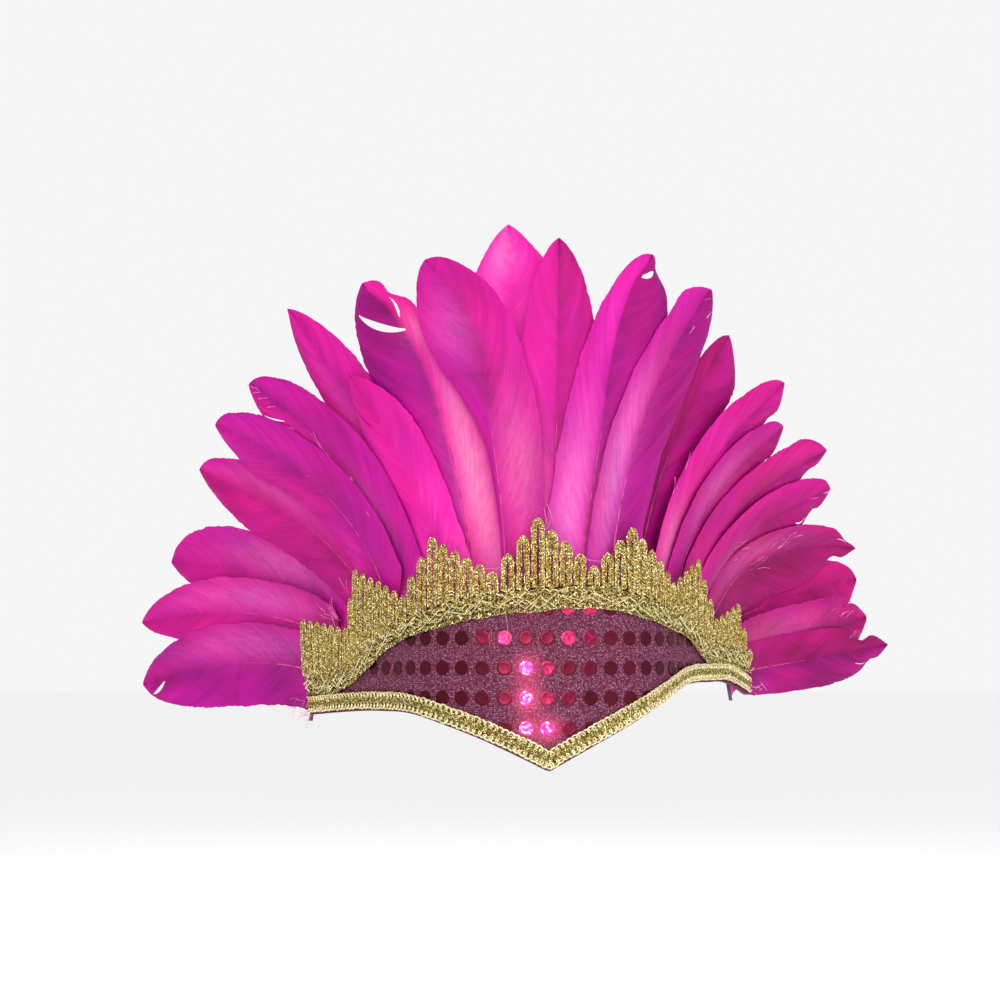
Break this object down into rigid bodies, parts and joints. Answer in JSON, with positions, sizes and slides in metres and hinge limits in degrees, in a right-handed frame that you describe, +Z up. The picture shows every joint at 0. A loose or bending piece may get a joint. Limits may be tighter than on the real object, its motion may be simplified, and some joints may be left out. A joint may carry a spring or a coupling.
{
  "type": "carnival feather headdress",
  "caption": "Forehead band of sequined cloth, gold lace and braid with a standing fan of pink feathers, held round the head by an elastic; worn with a carnival costume.",
  "frame": {"origin": "on the inner face of the forehead panel, at the middle of the forehead, level with the sequin row that crosses the panel's widest part", "axes": "+Z up as worn, the front faces -Y, +X towards the wearer's left ear; the wings and the elastic go back towards +Y"},
  "size_m": [0.3811, 0.1643, 0.2278],
  "materials": {
    "glitter_cloth": "mauve glitter cloth with sewn sequins",
    "gold_metal_thread": "gold metallic yarn, lace and braid",
    "dyed_feather": "satin, dyed hot pink",
    "purple_elastic": "matt woven elastic"
  },
  "bodies": {
    "root": {"front_panel": "glitter_cloth", "peak_lace": "gold_metal_thread", "lace_heading": "gold_metal_thread", "edge_braid": "gold_metal_thread", "elastic_strap": "purple_elastic", "feather_01": "dyed_feather", "feather_02": "dyed_feather", "feather_03": "dyed_feather", "feather_04": "dyed_feather", "feather_05": "dyed_feather", "feather_06": "dyed_feather", "feather_07": "dyed_feather", "feather_08": "dyed_feather", "feather_09": "dyed_feather", "feather_10": "dyed_feather", "feather_11": "dyed_feather", "feather_12": "dyed_feather", "feather_13": "dyed_feather", "feather_14": "dyed_feather", "feather_15": "dyed_feather", "feather_16": "dyed_feather", "feather_17": "dyed_feather", "feather_18": "dyed_feather", "feather_19": "dyed_feather", "feather_20": "dyed_feather", "feather_21": "dyed_feather", "feather_22": "dyed_feather", "feather_23": "dyed_feather"}
  },
  "joints": []
}
